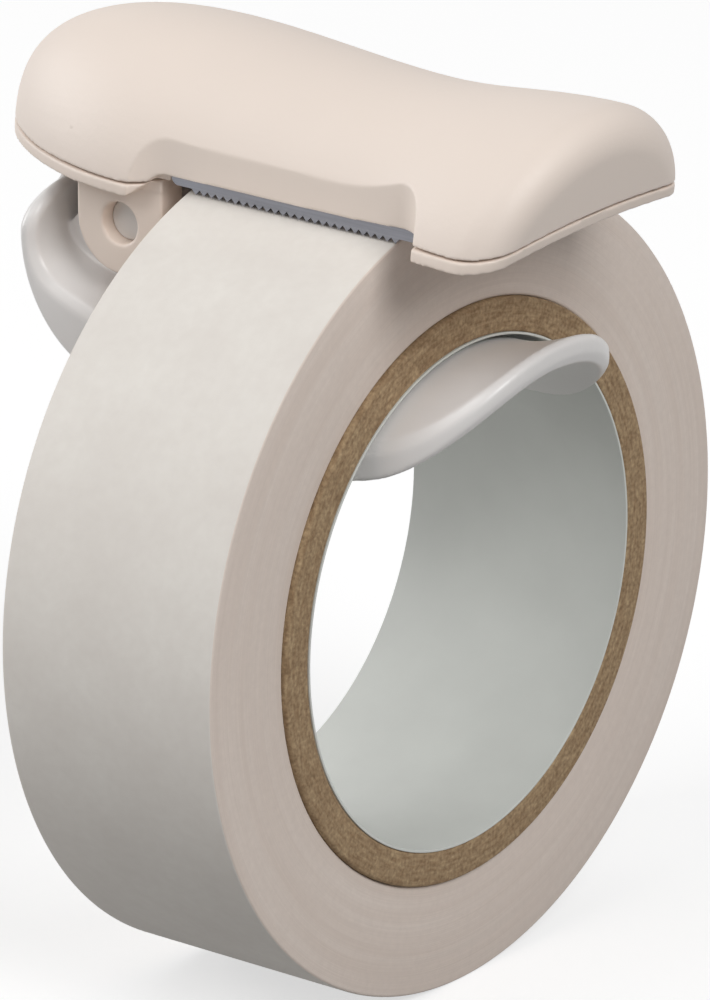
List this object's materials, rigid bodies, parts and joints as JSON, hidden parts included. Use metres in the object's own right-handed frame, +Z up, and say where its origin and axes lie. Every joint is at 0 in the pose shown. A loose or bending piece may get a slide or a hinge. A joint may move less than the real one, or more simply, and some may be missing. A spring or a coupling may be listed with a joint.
{
  "type": "clip-on tape cutter",
  "caption": "Clip-on tape cutter with a saddle-shaped cover, saw-toothed blade and sprung lever, clamped over the wall of a roll of paper tape that turns between its jaws.",
  "frame": {"origin": "centre of the roll, on its axis and halfway along its width", "axes": "+X along the roll's axis towards the open side of the jaws, -Y towards the front where the blade cuts, +Z up towards the cover"},
  "size_m": [0.0423, 0.048, 0.0552],
  "materials": {
    "cover_plastic": "fine matt moulding",
    "frame_plastic": "fine matt moulding",
    "blade_steel": "bright stamped strip",
    "pin_plastic": "plain",
    "spring_steel": "drawn wire",
    "lever_plastic": "satin",
    "tape_paper": "matt crepe paper",
    "kraft_board": "raw layered board",
    "liner_paper": "smooth coated paper"
  },
  "bodies": {
    "clip_body": {"top_cover": "cover_plastic", "base_frame": "frame_plastic", "cutter_blade": "blade_steel", "hinge_pin": "pin_plastic", "torsion_spring": "spring_steel"},
    "lever": {"clip_lever": "lever_plastic"},
    "roll": {"tape_winding": "tape_paper", "core_tube": "kraft_board", "core_liner": "liner_paper"}
  },
  "joints": [
    {"name": "lever_hinge", "type": "hinge", "parent": "clip_body", "child": "lever", "pos_m": [-0.0123, 0, 0.0202], "axis": [0, 1, 0], "range_deg": [0, 10], "stiffness_Nm_per_rad": 0.15, "springref_deg": -14.32, "deforming": ["torsion_spring"]},
    {"name": "roll_spin", "type": "hinge", "parent": "clip_body", "child": "roll", "pos_m": [0, 0, 0], "axis": [1, 0, 0], "continuous": true}
  ]
}
